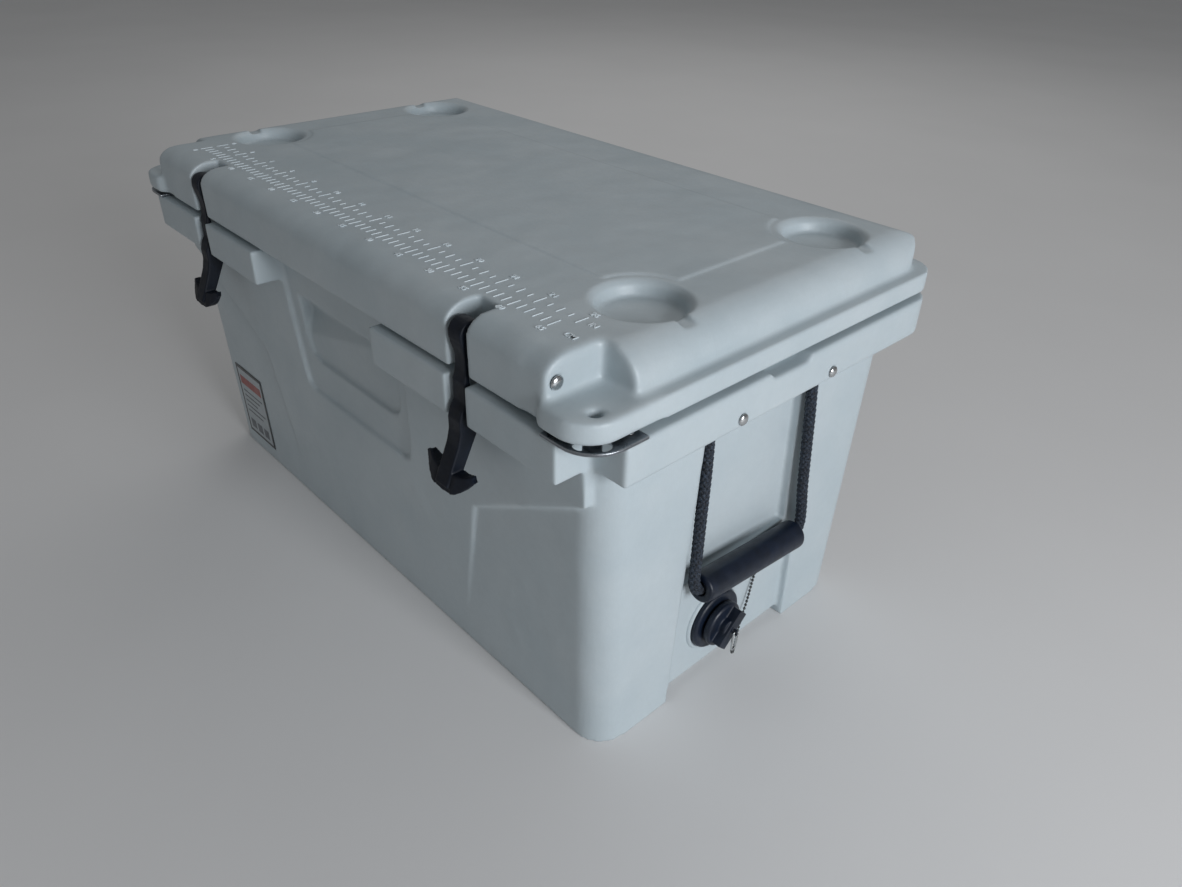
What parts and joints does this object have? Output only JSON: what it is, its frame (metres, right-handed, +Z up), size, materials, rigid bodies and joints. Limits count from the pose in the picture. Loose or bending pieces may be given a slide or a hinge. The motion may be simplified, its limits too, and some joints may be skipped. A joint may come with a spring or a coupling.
{
  "type": "hard cooler",
  "caption": "Rotomoulded hard cooler with a hinged insulated lid, rubber latches, rope handles at the ends, moulded cup recesses and ruler, and a screw drain plug.",
  "frame": {"origin": "on the floor under the middle of the whole cooler's footprint, measured over latches, hinges and end screws", "axes": "+X to the end with the drain, +Y to the hinged back, +Z up"},
  "size_m": [0.8546, 0.5214, 0.4402],
  "materials": {
    "white_polyethylene": "rotomoulded, satin with a fine skin texture",
    "insulating_foam": "rigid polyurethane foam",
    "latch_rubber": "moulded, matte",
    "seal_rubber": "soft, matte",
    "black_plastic": "injection moulded, satin",
    "plug_plastic": "injection moulded",
    "handle_rope": "braided polyester rope",
    "stainless_steel": "polished stainless",
    "dark_steel_plate": "stamped, dark with a bright edge",
    "printed_label": "printed film"
  },
  "bodies": {
    "tub": {"body_shell": "white_polyethylene", "body_foam": "insulating_foam", "body_fill_plug": "plug_plastic", "drain_flange": "black_plastic", "drain_washer": "seal_rubber", "drain_nut": "black_plastic", "drain_chain": "stainless_steel", "drain_chain_screw": "stainless_steel", "body_label": "printed_label", "corner_plate_right": "dark_steel_plate", "corner_plate_left": "dark_steel_plate", "plate_screw_right_1": "stainless_steel", "plate_screw_right_2": "stainless_steel", "plate_screw_left_1": "stainless_steel", "plate_screw_left_2": "stainless_steel", "hinge_rod_right": "stainless_steel", "hinge_rod_left": "stainless_steel", "rope_end_right_back": "handle_rope", "rope_screw_right_back": "stainless_steel", "rope_end_right_front": "handle_rope", "rope_screw_right_front": "stainless_steel", "rope_end_left_back": "handle_rope", "rope_screw_left_back": "stainless_steel", "rope_end_left_front": "handle_rope", "rope_screw_left_front": "stainless_steel"},
    "lid": {"lid_shell": "white_polyethylene", "lid_gasket": "seal_rubber", "lid_foam": "insulating_foam", "lid_fill_plug": "plug_plastic", "latch_bolt_right": "stainless_steel", "latch_bolt_left": "stainless_steel"},
    "latch_right": {"latch_right": "latch_rubber"},
    "latch_left": {"latch_left": "latch_rubber"},
    "handle_right": {"handle_rope_right": "handle_rope"},
    "grip_right": {"handle_grip_right": "black_plastic"},
    "handle_left": {"handle_rope_left": "handle_rope"},
    "grip_left": {"handle_grip_left": "black_plastic"},
    "plug_carriage": {"drain_plug_gasket": "seal_rubber"},
    "plug": {"drain_plug": "black_plastic", "drain_link": "stainless_steel"}
  },
  "joints": [
    {"name": "lid_hinge", "type": "hinge", "parent": "tub", "child": "lid", "pos_m": [0, 0.25275, 0.384], "axis": [-1, 0, 0], "range_deg": [0, 95]},
    {"name": "latch_swing_right", "type": "hinge", "parent": "lid", "child": "latch_right", "pos_m": [0.256, -0.22375, 0.418], "axis": [-1, 0, 0], "range_deg": [0, 150]},
    {"name": "latch_swing_left", "type": "hinge", "parent": "lid", "child": "latch_left", "pos_m": [-0.256, -0.22375, 0.418], "axis": [-1, 0, 0], "range_deg": [0, 150]},
    {"name": "handle_swing_right", "type": "hinge", "parent": "tub", "child": "handle_right", "pos_m": [0.398, 0.00325, 0.332], "axis": [0, -1, 0], "range_deg": [0, 80]},
    {"name": "handle_swing_left", "type": "hinge", "parent": "tub", "child": "handle_left", "pos_m": [-0.398, 0.00325, 0.332], "axis": [0, 1, 0], "range_deg": [0, 80]},
    {"name": "grip_turn_right", "type": "hinge", "parent": "handle_right", "child": "grip_right", "pos_m": [0.408, 0.00325, 0.146], "axis": [0, 0.9962, -0.0872], "continuous": true},
    {"name": "grip_turn_left", "type": "hinge", "parent": "handle_left", "child": "grip_left", "pos_m": [-0.408, 0.00325, 0.146], "axis": [0, 0.9962, -0.0872], "continuous": true},
    {"name": "plug_travel", "type": "slide", "parent": "tub", "child": "plug_carriage", "axis": [1, 0, 0], "range_m": [0, 0.006]},
    {"name": "plug_turn", "type": "hinge", "parent": "plug_carriage", "child": "plug", "pos_m": [0.41, -0.02475, 0.073], "axis": [1, 0, 0], "range_deg": [0, 720]}
  ],
  "couplings": [
    {"joint": "plug_travel", "follows": "plug_turn", "m_per_rad": 0.000477}
  ]
}
